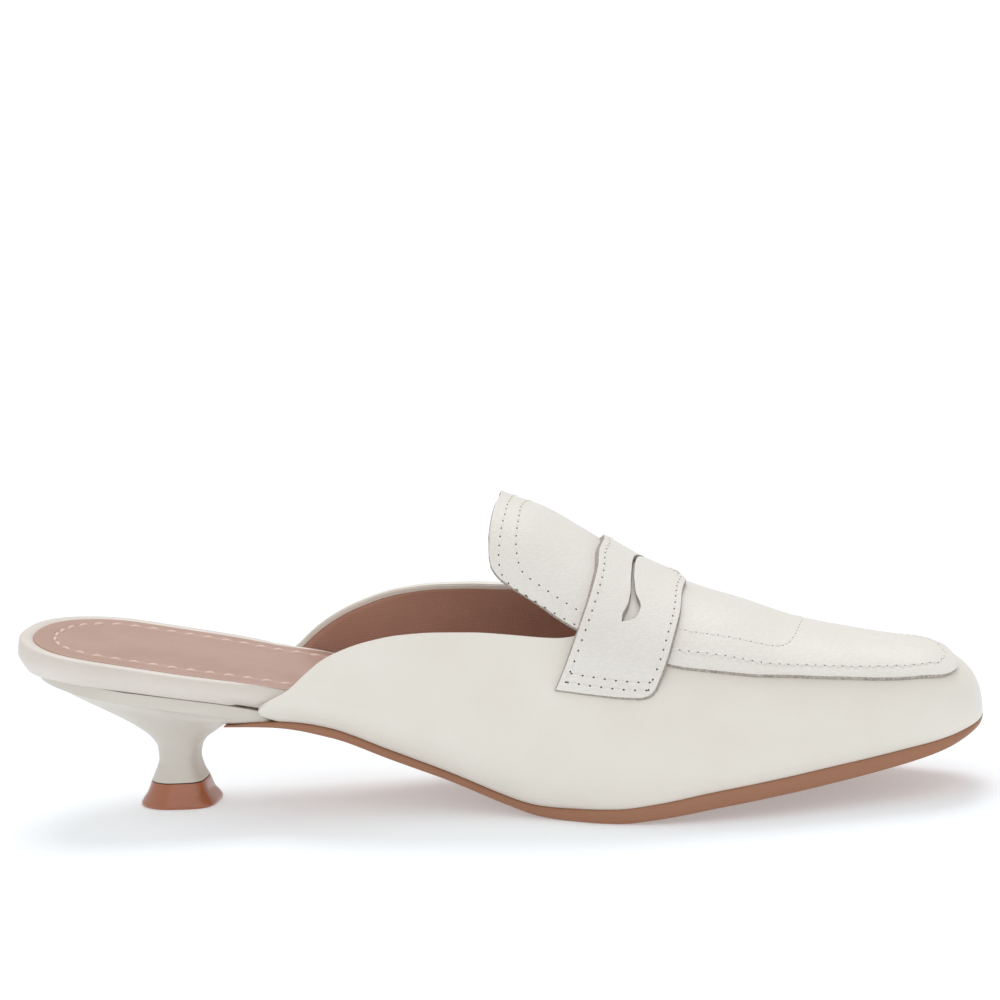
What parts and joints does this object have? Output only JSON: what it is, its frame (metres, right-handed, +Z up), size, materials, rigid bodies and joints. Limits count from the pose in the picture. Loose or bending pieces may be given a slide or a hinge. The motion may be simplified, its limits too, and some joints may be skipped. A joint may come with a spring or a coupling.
{
  "type": "mule shoe",
  "caption": "Backless kitten-heel penny-loafer mule in off-white leather, with tongue and apron, saddle strap, tan insole and tan outsole.",
  "frame": {"origin": "bottom centre of the whole shoe's box, on the floor that the heel's top piece and the ball of the sole stand on", "axes": "+X from heel to toe, +Y towards the outer (lateral) side of the foot, +Z up"},
  "size_m": [0.2524, 0.0786, 0.0796],
  "materials": {
    "outsole": "satin tan rubber",
    "heel_cover": "smooth satin off-white leather over a moulded heel",
    "top_piece": "glossy tan rubber",
    "footbed_leather": "smooth satin off-white leather",
    "sock_leather": "matte pinkish-tan leather",
    "upper_leather": "satin off-white leather, faint small-scale print",
    "print_leather": "satin off-white leather with a small lizard-like print",
    "lining": "fine brown twill",
    "thread": "off-white polyester sewing thread",
    "tan_thread": "tan polyester sewing thread",
    "raw_edge": "raw, suede-like cut leather edge"
  },
  "bodies": {
    "root": {"outsole": "outsole", "heel": "heel_cover", "heel_tip": "top_piece", "footbed": "footbed_leather", "insole": "sock_leather", "upper": "upper_leather", "apron_tongue": "print_leather", "saddle_strap": "print_leather"}
  },
  "joints": []
}
